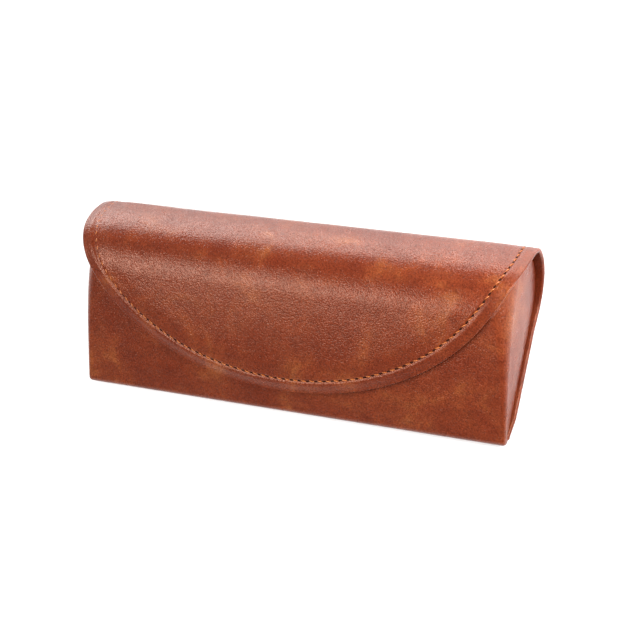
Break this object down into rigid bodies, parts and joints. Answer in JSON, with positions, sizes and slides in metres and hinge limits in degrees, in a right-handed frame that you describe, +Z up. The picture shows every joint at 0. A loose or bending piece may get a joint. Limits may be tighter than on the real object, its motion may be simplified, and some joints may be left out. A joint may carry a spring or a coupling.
{
  "type": "eyeglasses case",
  "caption": "Wedge-shaped hard eyeglasses case in brown leather, with end gussets, a lined pocket and a curved stitched fold-over flap held shut by a hidden magnet.",
  "frame": {"origin": "middle of the footprint, on the plane that the flat back rests on", "axes": "+X along the case from the left to the right gusset, +Y from the bottom fold towards the hinge corner, +Z up, from the back towards the flap"},
  "size_m": [0.1652, 0.0646, 0.0356],
  "materials": {
    "brown_leather": "satin",
    "greyboard": "matte",
    "foam_sheet": "matte",
    "lining_fabric": "matte",
    "fabric_tape": "matte",
    "orange_thread": "satin",
    "keeper_steel": "satin",
    "magnet_nickel": "polished"
  },
  "bodies": {
    "case": {"back_cover": "brown_leather", "back_board": "greyboard", "back_lining": "lining_fabric", "hinge_tape": "fabric_tape", "base_strip": "greyboard", "front_cover": "brown_leather", "pocket_lining": "lining_fabric", "front_foam": "foam_sheet", "front_board": "greyboard", "keeper_plate": "keeper_steel", "left_gusset_board": "greyboard", "right_gusset_board": "greyboard", "rim_binding": "brown_leather"},
    "flap": {"flap_cover": "brown_leather", "flap_foam": "foam_sheet", "crest_board": "greyboard", "flap_board": "greyboard", "flap_magnet": "magnet_nickel", "flap_lining": "lining_fabric", "flap_thread": "orange_thread"}
  },
  "joints": [
    {"name": "flap_hinge", "type": "hinge", "parent": "case", "child": "flap", "pos_m": [0, 0.03228, 0.018], "axis": [-1, 0, 0], "range_deg": [0, 160]}
  ]
}
